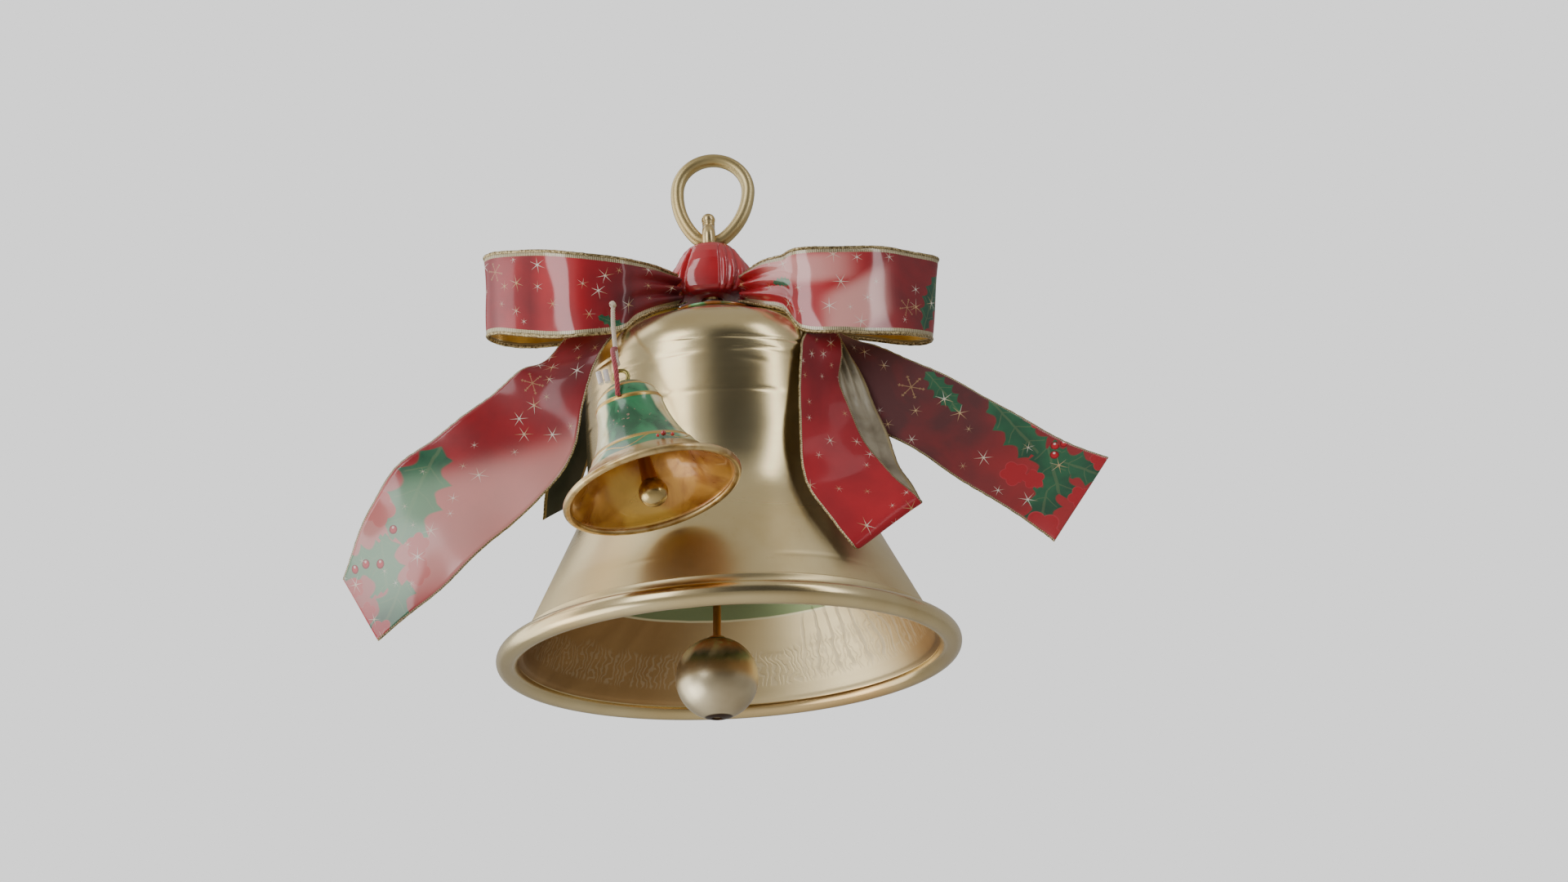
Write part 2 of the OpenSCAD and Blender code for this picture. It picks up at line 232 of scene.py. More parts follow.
def laid_strands(path, count, away, pitch):
    """Lines of `count` strands laid round a path, at a distance from it, one turn every pitch."""
    lines = [[] for _ in range(count)]
    run = 0
    for i, place in enumerate(path):
        ahead = path[min(i + 1, len(path) - 1)]
        behind = path[max(i - 1, 0)]
        if i:
            run += (place - behind).length
        tangent = (ahead - behind).normalized()
        across = tangent.cross(Vector((1, 0, 0))).normalized()
        up = tangent.cross(across)
        for k, line in enumerate(lines):
            turn = 2 * math.pi * (run / pitch + k / count)
            line.append(place + away * (math.cos(turn) * across + math.sin(turn) * up))
    return lines


def thread(name, light, dark):
    """Twisted thread: fine fibres across the strand and a soft sheen."""
    material, shader, at = finish(name, Roughness=0.55, Sheen_Weight=0.35, Coat_Weight=0.15)
    fibres = at.stretched(1, 1, 2.4).noise(5200, 2)
    vary(shader, Base_Color=fibres.rise(0.35, 0.65).tint(dark, light),
         Normal=fibres.bump(0.06 * MM))
    return material


cream_thread = thread("cream_thread", colour("efe3cf"), colour("b89f80"))
gold_thread = thread("gold_thread", colour("c9a765"), colour("7c5c2c"))
red_thread = thread("red_thread", colour("c02b3a"), colour("7d1420"))
white_thread = thread("white_thread", colour("f6f0ec"), colour("cfc4bd"))

cord_route = [
    (-.0251, -.0272, .088), (-.025, -.0288, .0858), (-.0247, -.033, .0812), (-.0242, -.038, .0764),
    (-.0236, -.0435, .0714), (-.023, -.049, .0666), (-.0224, -.0545, .062), (-.0218, -.0595, .0588),
    (-.0215, -.062, .0574)]
cord_line = [beside_bell(*p) for p in smooth(cord_route, 24)]
strands = drawn_wire(laid_strands(cord_line, 3, 0.3 * MM, 4.2 * MM), 0.32 * MM)
cord = piece("mini_bell_cord", strands, [cream_thread, gold_thread, cream_thread], "cord",
             ["mini_cord"])

knot_at = beside_bell(-.0252, -.0263, .0895)
knot_lines = []
for turn in range(3):
    tilt = Matrix.Rotation(turn * 1.1, 3, "X") @ Matrix.Rotation(0.5 + turn * 1.0, 3, "Y")
    circle = [knot_at + tilt @ Vector((math.cos(a), math.sin(a), 0.15 * math.sin(2 * a))) * 0.62 * MM
              for a in (2 * math.pi * k / 28 for k in range(28))]
    knot_lines.append(circle)
cord_knot = piece("cord_knot_on_bow", drawn_wire(knot_lines, 0.42 * MM, closed=True),
                  [cream_thread, gold_thread, cream_thread], "bell", ["cord_knot"])

twist_route = [(-.0221, -.0605, .0622), (-.0224, -.0645, .0602), (-.0219, -.0688, .0566),
               (-.0213, -.0712, .0524), (-.021, -.0722, .0484), (-.0209, -.0727, .0452)]
twist_line = [beside_bell(*p) for p in smooth(twist_route, 14)]
twist = piece("candy_twist", drawn_wire(laid_strands(twist_line, 4, 0.34 * MM, 5.2 * MM), 0.3 * MM),
              [red_thread, white_thread, red_thread, white_thread], None,
              ["cord_twist"])
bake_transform(twist)

# Two plain ends of pale cord stand up beside the small bell's crown, one white and one cream.
# They ride on the small bell, so its place and lean are set here.
mini_mouth = beside_bell(-.0138, -.066, .0225)
mini_turn = Matrix.Rotation(math.radians(-12.6), 4, "Y") @ Matrix.Rotation(math.radians(-5), 4, "X")
on_mini = Matrix.Translation(mini_mouth) @ mini_turn
MINI_H = 29.5
end_lines = []
for x, lean in ((-5, 0.016), (-3.4, 0.04)):
    foot = Vector((x, -2.8, MINI_H + 0.6))
    end_lines.append([on_mini @ ((foot + k * Vector((lean, 0, 0.8))) * MM) for k in range(5)])
ends = piece("cord_stub_ends", drawn_wire(end_lines, 0.68 * MM, sides=5),
             [white_thread, cream_thread], "mini_bell", ["cord_ends"])


# Bell: spun brass in satin champagne gold, with a rolled lip, a bead above it and worn lines cut
# round the waist. The inside is lacquered brown gold, with etched grass and stems behind the lip,
# and its deep end is painted grey green, a painted reflection of the bow's green ribbon.
def arc(x, h, radius, start, stop, steps):
    """Points of an arc in an outline, from one angle to another, in degrees."""
    angles = (math.radians(start + (stop - start) * i / steps) for i in range(steps + 1))
    return [(x + radius * math.cos(a), h + radius * math.sin(a)) for a in angles]


def spaced(outline, step):
    """The outline with extra points, so that none are further apart than step."""
    points = [outline[0]]
    for a, b in zip(outline, outline[1:]):
        count = max(1, math.ceil(math.dist(a, b) / step))
        points += [(a[0] + (b[0] - a[0]) * k / count, a[1] + (b[1] - a[1]) * k / count)
                   for k in range(1, count + 1)]
    return points


def lathe(outline, turns=160, closed=True):
    """Turns an outline of radius and height in millimetres into a solid round the Z axis."""
    shape = bmesh.new()
    corners = [shape.verts.new((r * MM, 0, h * MM)) for r, h in outline]
    pairs = list(zip(corners, corners[1:])) + ([(corners[-1], corners[0])] if closed else [])
    edges = [shape.edges.new(pair) for pair in pairs]
    bmesh.ops.spin(shape, geom=corners + edges, cent=(0, 0, 0), axis=(0, 0, 1), dvec=(0, 0, 0),
                   angle=2 * math.pi, steps=turns, use_merge=True, use_duplicate=False)
    bmesh.ops.remove_doubles(shape, verts=shape.verts, dist=0.01 * MM)
    bmesh.ops.recalc_face_normals(shape, faces=shape.faces)
    return shape


def mesh_of(shape, name, place=None):
    """Turns a finished shape into a mesh, moved to its place."""
    if place is not None:
        bmesh.ops.transform(shape, matrix=place, verts=shape.verts)
    mesh = bpy.data.meshes.new(name)
    shape.to_mesh(mesh)
    shape.free()
    return mesh


AT_BELL = Matrix.Translation(AXIS)
LIP_C = 57.2
CROWN_H = 97.2
WALL = 1.4


def shell_outline(inset):
    """The shell's side, from the flare up to the hole in its crown, moved in by inset."""
    flare = arc(81.4, 52, 46 + inset, 206, 180, 30)
    shoulder = arc(21.4, 74.3, 14 - inset, 0, 64.4, 26)
    return flare + shoulder + [(6, CROWN_H - inset), (2.1, CROWN_H - inset)]


lip = arc(LIP_C, 0, LIP_R, 150, -190, 40)
bead = arc(53.15, 5.6, 0.55, 150, -20, 8)
outer = spaced(shell_outline(0)[::-1] + bead, 0.55)
inner = spaced([(53.3, 1.0), (52.6, 2.2)] + shell_outline(WALL), 0.9)
WORN_LINES = ((75.2, 0.28), (71.6, 0.34), (68.9, 0.22), (60.8, 0.28), (12.2, 0.12))
shape = lathe(outer + lip + inner, turns=216)
for vertex in shape.verts:
    radius = math.hypot(vertex.co.x, vertex.co.y)
    height = vertex.co.z / MM
    around = math.atan2(vertex.co.y, vertex.co.x)
    place = Vector((math.cos(around), math.sin(around), height / 30))
    depth = 0.07 * noise.noise(place * 2.2) * min(1, max(0, (height - 6) / 12))
    for line_h, cut in WORN_LINES:
        wander = line_h + 0.9 * noise.noise(place * 2.3 + Vector((line_h, 0, 0)))
        faded = max(0, 0.5 + noise.noise(place * 4.1 + Vector((0, line_h, 0))) * 2)
        depth -= cut * min(1, faded) * math.exp(-((height - wander) / 0.45) ** 2)
    if radius > 4 * MM and height > 6:
        vertex.co.x *= 1 + depth * MM / radius
        vertex.co.y *= 1 + depth * MM / radius
for face in shape.faces:
    centre = face.calc_center_median()
    radial = Vector((centre.x, centre.y, 0)).normalized()
    off_lip = math.hypot(math.hypot(centre.x, centre.y) / MM - LIP_C, centre.z / MM)
    face.material_index = int(face.normal.dot(radial) + face.normal.z < 0 and off_lip > LIP_R + 0.15)


def satin_gold(name, base, shade, warm, roughness, brush, worn=0.25, flare_top=None):
    """Brushed and lacquered gold: fine lines round the piece, cloudy tone and small rubbed spots.
    Below flare_top it turns more matte, down to just above the lip."""
    material, shader, at = finish(name, Metallic=1.0)
    lines = at.stretched(9, 9, brush).noise(1.0, 3)
    cloud = at.noise(22, 4, 0.6)
    warmth = at.stretched(1, 1, 0.5).noise(17, 2)
    specks = at.noise(420, 2).rise(0.66, 0.74)
    tone = cloud.rise(0.3, 0.7).tint(shade, base)
    tone = warmth.rise(0.52, 0.72, 0.6).tint(tone, warm)
    tone = (specks * worn).tint(tone, shade)
    rough = roughness - 0.06 + 0.12 * cloud + 0.06 * lines
    if flare_top is not None:
        below = flare_top - at.part("Z")
        rough = rough + below.rise(0, 26 * MM, 0.2) * (32 * MM - below).rise(0, 5 * MM)
    vary(shader, Base_Color=tone, Roughness=rough,
         Normal=(lines * 0.5 + specks * 2 * worn).bump(0.012 * MM, 0.5))
    return material


bell_gold = satin_gold("satin_gold", colour("e0cfa2"), colour("cdb684"), colour("d8a765"), 0.2, 500,
                       flare_top=AXIS.z + 34 * MM)

inside_gold, shader, at = finish("inside_lacquer", Metallic=1.0)
z = at.part("Z") - AXIS.z
around = at.part("Y").maths("ARCTAN2", at.part("X") - AXIS.x)
wobble = at.noise(60, 3) - 0.5
cloud = at.noise(30, 4, 0.8)
streaks = at.stretched(10, 10, 700).noise(1.0, 4)
blades = abs((around * 95 + at.noise(240, 2) * 14).maths("SINE"))
side = around.rise(0.05, 0.25) * (1.25 - around).rise(0, 0.2)
grass_top = 11 * MM + 6 * MM * at.noise(170, 2) + side * 7 * MM * at.noise(90, 2)
grass = 0.5 * blades.rise(0.72, 0.95) * (grass_top - z).rise(0, 2 * MM) * z.rise(4 * MM, 5 * MM)
stems = abs((around * 31 + wobble * 9 + z * 60).maths("SINE")).rise(0.9, 0.98) * side
stems = stems * z.rise(5 * MM, 7 * MM) * (grass_top + 6 * MM - z).rise(0, 3 * MM)
etched = grass.maths("MAXIMUM", stems)
# Painted reflection: above the level line the inside is painted grey green for the bow's green ribbon,
# with a pale line at its edge.
level_line = 21.8 * MM + 0.5 * wobble * MM
deep_ribbon_reflection = (z - level_line).rise(-0.3 * MM, 0.3 * MM)
tone = cloud.rise(0.3, 0.7).tint(colour("8a6a42"), colour("ad8a5c"))
tone = (around.rise(0.1, 0.9) * (2.1 - around).rise(0, 0.9)).tint(tone, colour("d6c498"))
tone = (etched * 0.35).tint(tone, colour("e9dfc4"))
bound = (0.4 * MM - abs(z - level_line)).rise(0, 0.3 * MM)
tone = bound.tint(deep_ribbon_reflection.tint(tone, colour("7f8c65")), colour("d8cfa8"))
vary(shader, Base_Color=tone, Roughness=0.3 + 0.16 * cloud + 0.1 * streaks + 0.15 * etched,
     Normal=(streaks * 0.2 + etched * 0.8 + cloud * 1.2).bump(0.06 * MM))
piece("bell", mesh_of(shape, "bell", AT_BELL), [bell_gold, inside_gold], "bell",
      ["bell_shell"])


# Crown cap: a shallow enamelled saucer between the bow and the bell, with a bright rolled rim.
# Grey blue enamel, with orange and green painted at the rim as a painted reflection of the red and green
# bow.
cap_line = [(2.1, 97.3), (6, 97.3), (13.3, 93.85)] + arc(13.5, 94.15, 0.42, -110, 110, 10)
cap_line += [(13.2, 94.55), (6.1, 97.85), (2.1, 97.85)]
cap_enamel, shader, at = finish("cap_enamel", Metallic=0.75, Coat_Weight=1.0, Coat_Roughness=0.08)
x, y = at.part("X") - AXIS.x, at.part("Y")
out = (x * x + y * y).maths("SQRT")
patches = at.noise(150, 4, 1.5)
tone = patches.rise(0.35, 0.6).tint(colour("5c656d"), colour("7d8784"))
rim = out.rise(12.2 * MM, 13.6 * MM)
# Painted reflection of the red and green bow in the rim.
rim_bow_reflection = patches.rise(0.42, 0.58).tint(colour("c7803e"), colour("4f8f5a"))
vary(shader, Base_Color=rim.tint(tone, rim_bow_reflection), Roughness=0.22 + 0.25 * patches,
     Normal=patches.bump(0.1 * MM))
piece("crown_saucer", mesh_of(lathe(spaced(cap_line, 0.7), turns=128), "cap", AT_BELL), [cap_enamel],
      "bell", ["crown_cap"])

# Hanger: a forged eye on a stem that runs down through the bow, the cap and the crown.
# Above the eye stands a short round-headed post with a band at its foot, all of bright gold.
def add_shape(shape, other, place=None):
    """Adds another shape, moved to its place, to a shape."""
    loose = mesh_of(other, "loose", place)
    shape.from_mesh(loose)
    bpy.data.meshes.remove(loose)


EYE_H = 118.05
bright_gold = satin_gold("bright_gold", colour("e2d3a4"), colour("bfa56c"), colour("c9974f"), 0.24, 60, 0)
post_line = [(0, EYE_H + 5.0), (1.72, EYE_H + 5.0), (1.72, EYE_H + 5.7)]
post_line += arc(1.55, EYE_H + 6.0, 0.22, -60, 60, 5) + arc(0, 125.3, 1.92, -28, 90, 16)
shape = lathe(post_line, turns=64, closed=False)
stem_line = [(0, 90.2), (1.96, 90.2), (1.96, 97.8), (2.6, 97.8), (4.3, 97.8), (4.6, 98.1),
             (4.6, 98.7), (4.3, 99), (2.6, 99.2), (2.6, EYE_H - 4.6), (2.2, EYE_H - 3.4), (0, EYE_H - 3)]
add_shape(shape, lathe(stem_line, turns=64, closed=False))
eye_place = Matrix.Translation((0, 0, EYE_H * MM)) @ Matrix.Rotation(math.radians(90), 4, "Y")
add_shape(shape, lathe(arc(3.95, 0, 1.75, 0, 345, 23), turns=72), eye_place)
piece("hanger_eye_and_post", mesh_of(shape, "hanger", AT_BELL), [bright_gold], "bell",
      ["hanger_eye"])

# Hanging ring: one length of thick wire bent into an egg of four arcs and worn smooth, in the same
# satin gold. It leans to the right, and its foot lies in the hanger's eye.
ring_gold = satin_gold("ring_gold", colour("d6c594"), colour("b8a26c"), colour("c0944e"), 0.36, 40, 0)
WIRE_R = 1.85
EGG_R = 9.9
EGG_FOOT = (2 - math.sqrt(2)) * EGG_R
egg = arc(0, 0, EGG_R, 0, 180, 60)[:-1] + arc(EGG_R, 0, 2 * EGG_R, 180, 225, 30)[:-1]
egg += arc(0, -EGG_R, EGG_FOOT, 225, 315, 36)[:-1] + arc(-EGG_R, 0, 2 * EGG_R, -45, 0, 30)[:-1]
ring_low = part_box("hanging_ring")[0]
ring_foot = Vector((AXIS.x, 0, ring_low.z + WIRE_R * MM))
ring_turn = Matrix.Rotation(math.radians(6), 4, "Y")
egg_line = [ring_foot + ring_turn @ Vector((x, 0, h + EGG_R + EGG_FOOT)) * MM for x, h in egg]
piece("hanging_ring_wire", drawn_wire([egg_line], WIRE_R * MM, sides=12, closed=True), [ring_gold],
      "ring", ["hanging_ring"])


# Bow: wired ribbon, glossy red print on one side and gold or dark green on the other.
# Each length is one sheet with a gold thread edge over a fine wire, gathered under the knot.
def printed(name, base, dark, shine):
    """Lacquered ribbon print: holly leaves, blossoms, berries, stars and flakes on red. shine is
    how thick the lacquer lies. Painted shade darkens the red and thins the lacquer, and painted glare
    turns it pale pink."""
    material, shader, at = finish(name, Coat_Roughness=0.1, Coat_IOR=1.85, Specular_IOR_Level=0.2)

    def mapped(layer):
        found = at.node("UVMap", {"uv_map": layer})
        return found, found.part("X"), found.part("Y")

    def reach(u, v):
        return (u * u + v * v).maths("SQRT")

    def bearing(u, v):
        return v.maths("ARCTAN2", u)

    def threads(along, pitch):
        return (along * 2 * math.pi / pitch).maths("SINE")

    sheet, run, across = mapped("sheet")
    weave = threads(run, 0.22 * MM) * threads(across, 0.3 * MM)
    cloud = sheet.noise(70, 4, 0.4)
    # The tone map holds painted shade (how dark the red is painted) and painted glare (how pale it is
    # painted).
    _, depth, painted_glare = mapped("tone")
    tone = (cloud.rise(0.3, 0.8) * 0.3 + depth).tint(base, dark)
    tone = painted_glare.tint(tone, (1, 0.5, 0.46, 1))

    spot, u, v = mapped("leaf")
    wave = spot.noise(2.2, 2) - 0.5
    u, v = u + wave * 0.16, abs(v + wave * 0.12)
    body = (1 - u * u).maths("MAXIMUM", 0.0) ** 0.55
    width = body * (0.27 + 0.2 * (1 - abs((u * 2.5 * math.pi).maths("SINE"))))
    leaf = (width - v).rise(0, 0.05)
    vein = (0.035 - v).rise(0, 0.02)
    twigs = abs((u - v * 0.75 + 0.2).maths("PINGPONG", 0.2))
    vein = vein.maths("MAXIMUM", (0.022 - twigs).rise(0, 0.015) * (width * 0.85 - v).rise(0, 0.08))
    green = cloud.rise(0.35, 0.65).tint(colour("1d4a36"), colour("2c6a48"))
    green = (vein * 0.13).tint(green, colour("b9b07a"))
    green = painted_glare.tint(green, (0.42, 0.66, 0.44, 1))
    tone = leaf.tint(tone, green)

    _, u, v = mapped("blossom")
    far = reach(u, v)
    petal = 0.74 + 0.26 * abs((bearing(u, v) * 2.5).maths("COSINE"))
    bloom = (petal - far).rise(0, 0.05)
    red = (petal - far).rise(0.12, 0.0).tint(colour("b51c2a"), colour("c9404c"))
    tone = bloom.tint(tone, (painted_glare * 0.8).tint(red, (1, 0.42, 0.38, 1)))

    _, u, v = mapped("berry")
    far = reach(u, v)
    glint = reach(u + 0.3, v - 0.35).rise(0.4, 0.1)
    berry_tone = far.rise(0.5, 1.0).tint(colour("cf3038"), colour("77131c"))
    tone = (1 - far.rise(0.92, 1.0)).tint(tone, glint.tint(berry_tone, colour("ffe9e4")))

    _, u, v = mapped("star")
    far = reach(u, v)
    spokes = abs((bearing(u, v) * 3).maths("SINE"))
    star = (0.13 / (0.13 + spokes) - far).rise(-0.02, 0.05) * (1 - far).rise(0, 0.1)
    cream = sheet.noise(190, 1).rise(0.42, 0.6).tint(colour("d3b27c"), colour("f6efe0"))
    tone = (star * 0.9).tint(tone, painted_glare.tint(cream, (1, 0.92, 0.88, 1)))

    _, u, v = mapped("flake")
    far = reach(u, v)
    spokes = abs((bearing(u, v) * 3).maths("SINE"))
    ray = (0.11 - spokes * far).rise(0, 0.04) * (1 - far).rise(0, 0.06)
    inner_bar = (0.05 - abs(far - 0.62)).rise(0, 0.03)
    outer_bar = (0.05 - abs(far - 0.86)).rise(0, 0.03)
    bar = inner_bar.maths("MAXIMUM", outer_bar) * (0.42 - spokes).rise(0, 0.06)
    tone = (ray.maths("MAXIMUM", bar) * 0.5).tint(tone, colour("c9a977"))

    _, off_side, band_width = mapped("edge")
    band = (band_width - off_side).rise(0, 0.12 * MM)
    ribs = threads(run, 0.55 * MM)
    band_tone = ribs.rise(-0.6, 0.6).tint(colour("8d8264"), colour("cdbf9a"))
    tone = band.tint(tone, band_tone)
    relief = weave * 0.25 + band * (0.6 + 0.5 * ribs) + leaf * 0.3 + star * 0.5 + cloud * 0.8
    vary(shader, Base_Color=tone, Metallic=band * 0.7, Roughness=0.42 - 0.1 * band + 0.1 * cloud,
         Coat_Weight=(1 - 1.25 * depth).maths("MAXIMUM", 0.0) * shine, Normal=relief.bump(0.03 * MM))
    return material


def reverse(name, light, dark, metallic, roughness, coat):
    """The ribbon's plain side: fine woven ribs, with the metal thread band along its edges."""
    material, shader, at = finish(name, Coat_Weight=coat, Coat_Roughness=0.15)
    sheet = at.node("UVMap", {"uv_map": "sheet"})
    ribs = (sheet.part("Y") * 2 * math.pi / (0.34 * MM) + sheet.noise(400, 2) * 2).maths("SINE")
    cloud = sheet.noise(55, 4, 0.8)
    crease = sheet.stretched(1, 0.35, 1).noise(160, 3, 0.5)
    off_side = at.node("UVMap", {"uv_map": "edge"}).part("X")
    band = (1.1 * MM - off_side).rise(0, 0.12 * MM)
    tone = (cloud * 0.7 + crease * 0.3).rise(0.33, 0.66).tint(dark, light)
    tone = band.tint(tone, colour("a3946c"))
    vary(shader, Base_Color=tone, Metallic=metallic + band * (0.7 - metallic),
         Roughness=roughness + 0.15 * cloud - 0.05, Normal=(ribs * 0.2 + crease).bump(0.06 * MM))
    return material


def edge_thread():
    """Gold metal thread wound closely over the wire in the ribbon's edge."""
    material, shader, at = finish("edge_thread", Metallic=0.8)
    ribs = at.noise(1900, 2)
    vary(shader, Base_Color=ribs.rise(0.35, 0.65).tint(colour("6d5b3a"), colour("cbb98c")),
         Roughness=0.3 + 0.2 * ribs, Normal=ribs.bump(0.12 * MM))
    return material


red_print = printed("ribbon_red_print", colour("cd1c28"), colour("4c2227"), 1.0)
matte_print = printed("ribbon_soft_red_print", colour("c02430"), colour("551a20"), 0.08)
gold_reverse = reverse("ribbon_gold_reverse", colour("f0c860"), colour("b98c34"), 0.4, 0.3, 0.3)
green_reverse = reverse("ribbon_green_reverse", colour("2c3f3c"), colour("1b2a2b"), 0.0, 0.5, 0.3)
grey_reverse = reverse("ribbon_grey_reverse", colour("a89f88"), colour("6c6049"), 0.55, 0.35, 0.4)
gold_edge = edge_thread()
MOTIFS = ("leaf", "blossom", "berry", "star", "flake")
FAR_OFF = (9, 9, 0, 1)


def ribbon(name, route, turn, back, node, pulls, motifs, shade_depths, seed, stars=30, wave=0.6,
           gather=13 * MM, painted_glares=(), edge_band=1.1 * MM, front=red_print):
    """One length of ribbon along its route, whose points are a place beside the bell and the half
    width across it. turn says which side is printed, and pulls at which ends it is gathered.
    motifs gives places on the cloth: run, across, angle and half size. The list of depths is
    painted shade along the run, and the hazes are places of painted glare: run, across, half
    length, half height, lean and amount."""
    rows = smooth(route, 12)
    middles = [beside_bell(*row[:3]) for row in rows]
    halves = [Vector(row[3:]) for row in rows]
    runs = [0]
    for a, b in zip(middles, middles[1:]):
        runs.append(runs[-1] + (b - a).length)
    length = runs[-1]
    draw = random.Random(seed)
    scattered = dict(motifs)
    scattered["star"] = list(motifs.get("star", ()))
    while len(scattered["star"]) < stars:
        spot = (draw.uniform(0, length), draw.uniform(-11, 11) * MM)
        if all(math.dist(spot, s[:2]) > 4 * MM for s in scattered["star"]):
            scattered["star"].append((*spot, draw.uniform(0, 1), draw.choice((1.3, 1.9, 2.7)) * MM))
    shape = bmesh.new()
    layers = {kind: shape.loops.layers.uv.new(kind) for kind in ("sheet", "edge", "tone", *MOTIFS)}
    bmesh.ops.create_grid(shape, x_segments=len(rows) - 1, y_segments=28, size=0.5)
    flat = {}
    for vertex in shape.verts:
        i = round((vertex.co.x + 0.5) * (len(rows) - 1))
        t = 2 * turn * vertex.co.y
        half = halves[i]
        ahead = middles[min(i + 1, len(rows) - 1)] - middles[max(i - 1, 0)]
        normal = ahead.cross(half).normalized()
        pull = sum(math.exp(-(gap / gather) ** 1.5)
                   for gap, on in ((runs[i], pulls[0]), (length - runs[i], pulls[1])) if on)
        fold = 1.1 * MM * pull * math.cos(3.3 * math.pi * t + seed) * (1 - 0.3 * t * t)
        sway = wave * MM * noise.noise(Vector((runs[i] / (17 * MM), t * 0.8, seed)))
        ripple = 0.35 * MM * t * t * math.sin(runs[i] / (3.4 * MM) + seed + t)
        rag = 0.16 * MM * t ** 9 * noise.noise(Vector((runs[i] / (1.4 * MM), t * 2, seed)))
        out = t + rag / max(half.length, MM)
        vertex.co = middles[i] + half * out + normal * (fold + (sway + ripple) * (1 - 0.8 * min(1, pull)))
        flat[vertex] = (runs[i], t * max(half.length, 9.5 * MM), half.length * (1 - abs(t)))
    for face in shape.faces:
        run = sum(flat[v][0] for v in face.verts) / len(face.verts)
        across = sum(flat[v][1] for v in face.verts) / len(face.verts)
        nearest = {kind: min(scattered.get(kind) or [FAR_OFF],
                             key=lambda m: math.dist((run, across), m[:2]) / (0.3 + m[3] * 150))
                   for kind in MOTIFS}
        for loop in face.loops:
            s, w, off_side = flat[loop.vert]
            loop[layers["sheet"]].uv = (s, w)
            loop[layers["edge"]].uv = (off_side, edge_band)
            # Painted shade along the run, from the list of depths.
            depth = shade_depths[-1][1]
            for (s0, d0), (s1, d1) in zip(shade_depths, shade_depths[1:]):
                if s0 <= s < s1:
                    depth = d0 + (d1 - d0) * (s - s0) / (s1 - s0)
            # Painted glare: pale places painted over the print.
            painted_glare = 0
            for glare_run, glare_across, wide, tall, lean, amount in painted_glares:
                off_s = s - glare_run
                off_w = w - glare_across - lean * off_s
                painted_glare = max(painted_glare, amount * math.exp(-(off_s / wide) ** 6 - (off_w / tall) ** 6))
            loop[layers["tone"]].uv = (depth, painted_glare)
            for kind, (at_run, at_across, angle, size) in nearest.items():
                local = Vector((s - at_run, w - at_across))
                local.rotate(Matrix.Rotation(-angle, 2))
                loop[layers[kind]].uv = local / size
    sides = [[v.co.copy() for v in sorted(shape.verts, key=lambda v: flat[v][0])
              if flat[v][2] < 0.01 * MM and flat[v][1] * sign > 0] for sign in (1, -1)]
    cloth = piece(name, mesh_of(shape, name), [front, back, gold_edge], "bell", [node])
    thick = cloth.modifiers.new("thickness", "SOLIDIFY")
    thick.thickness = 0.45 * MM
    thick.offset = 0
    thick.material_offset = 1
    thick.material_offset_rim = 2
    wires = piece(name + "_wires", drawn_wire(sides, edge_band * 0.25 + 0.1 * MM, sides=2),
                  [gold_edge, gold_edge], "bell")


loop_left_route = [
    (-.0085, -.008, .101, 0, 0, .0044), (-.0145, -.0155, .0985, 0, 0, .0066),
    (-.0195, -.0205, .096, 0, 0, .0084), (-.024, -.0237, .0935, 0, 0, .0105),
    (-.036, -.026, .0935, 0, 0, .012), (-.048, -.0215, .0965, 0, 0, .0122),
    (-.057, -.0155, .1, 0, 0, .0116), (-.0605, -.0105, .101, 0, 0, .0114),
    (-.057, -.0065, .1005, 0, 0, .0114), (-.048, -.005, .0995, 0, 0, .0115),
    (-.036, -.005, .0995, 0, 0, .0108), (-.024, -.0045, .1, 0, 0, .01),
    (-.015, -.0025, .1015, 0, 0, .007), (-.009, -.002, .1015, 0, 0, .0045)]
loop_right_route = [
    (.0085, -.008, .1005, 0, 0, .0042), (.0145, -.0165, .0975, 0, 0, .0066),
    (.0195, -.0225, .0945, 0, 0, .008), (.024, -.0265, .0905, 0, 0, .0115),
    (.036, -.028, .089, 0, 0, .0122), (.048, -.023, .09, 0, 0, .0122),
    (.057, -.016, .0915, .0006, 0, .0118), (.06, -.0105, .0925, .0015, 0, .0116),
    (.057, -.0065, .093, .001, 0, .0114), (.048, -.005, .094, 0, 0, .0112),
    (.036, -.0045, .0965, 0, 0, .0108), (.024, -.004, .0985, 0, 0, .0095),
    (.015, -.0025, .1008, 0, 0, .007), (.009, -.002, .101, 0, 0, .0045)]
tail_left_route = [
    (-.009, -.005, .101, -.002, 0, .0028), (-.018, -.0135, .095, -.0034, 0, .003),
    (-.029, -.02, .0865, -.005, .0005, .0022), (-.037, -.0215, .0767, -.0068, .0015, .0011),
    (-.042, -.023, .069, -.0083, .001, .005), (-.0475, -.023, .059, -.0109, .001, .0084),
    (-.057, -.025, .048, -.013, .001, .0096), (-.07, -.026, .037, -.0122, .001, .0109),
    (-.0785, -.026, .027, -.0098, .001, .0109), (-.086, -.0245, .0175, -.0072, .0005, .0088),
    (-.091, -.0235, .0115, -.0046, .0005, .0084)]
tail_right_route = [
    (.009, -.004, .1002, .002, 0, .0028), (.017, -.0095, .0963, .003, .001, .0028),
    (.026, -.013, .0885, .0015, .004, .0015), (.035, -.015, .0795, .0026, .002, .0018),
    (.0385, -.015, .073, .0046, 0, .005), (.044, -.015, .066, .006, 0, .0084),
    (.058, -.015, .057, .0069, 0, .0086), (.073, -.014, .046, .0078, 0, .0087),
    (.085, -.013, .038, .0078, 0, .0093), (.093, -.013, .0325, .0081, 0, .0109)]
tail_rear_route = [
    (-.0095, .0015, .1015, 0, -.001, .003), (-.018, .005, .0965, -.001, -.0035, .0025),
    (-.028, .0085, .0905, -.002, -.005, .0015), (-.0365, .009, .081, -.0025, -.006, 0),
    (-.0385, .008, .07, -.0035, -.006, -.001), (-.04, .0065, .06, -.0038, -.006, -.002),
    (-.0425, .005, .051, -.0043, -.006, -.003), (-.044, .0045, .044, -.0035, -.0055, -.004)]
